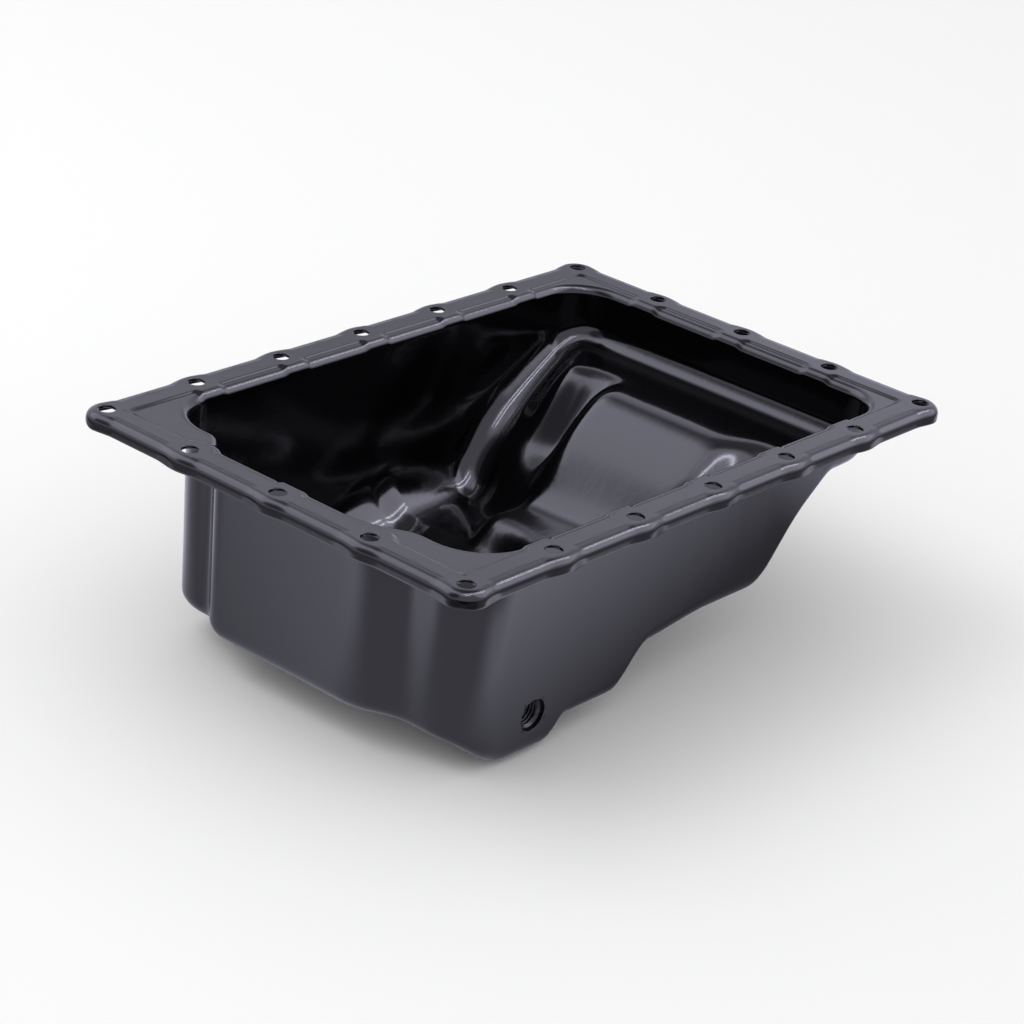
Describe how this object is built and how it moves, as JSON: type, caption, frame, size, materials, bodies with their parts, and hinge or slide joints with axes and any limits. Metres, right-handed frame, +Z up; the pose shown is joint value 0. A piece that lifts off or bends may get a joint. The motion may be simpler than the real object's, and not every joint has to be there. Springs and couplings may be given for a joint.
{
  "type": "engine oil pan",
  "caption": "Deep-drawn steel engine oil pan with a stepped sump, a bolt flange with a turned-down lip and a side drain with a weld nut.",
  "frame": {"origin": "middle of the rectangular bolt pattern, on the sealing face on top of the flange", "axes": "+X along the long side from the deep sump end to the shallow end, +Y along the short side away from the drain wall, +Z up out of the open mouth"},
  "size_m": [0.318, 0.218, 0.1025],
  "materials": {
    "black_paint": "gloss black dip paint on pressed steel sheet",
    "nut_coat": "the same black coat over a turned steel weld nut"
  },
  "bodies": {
    "root": {"oil_pan": "black_paint", "drain_nut": "nut_coat"}
  },
  "joints": []
}
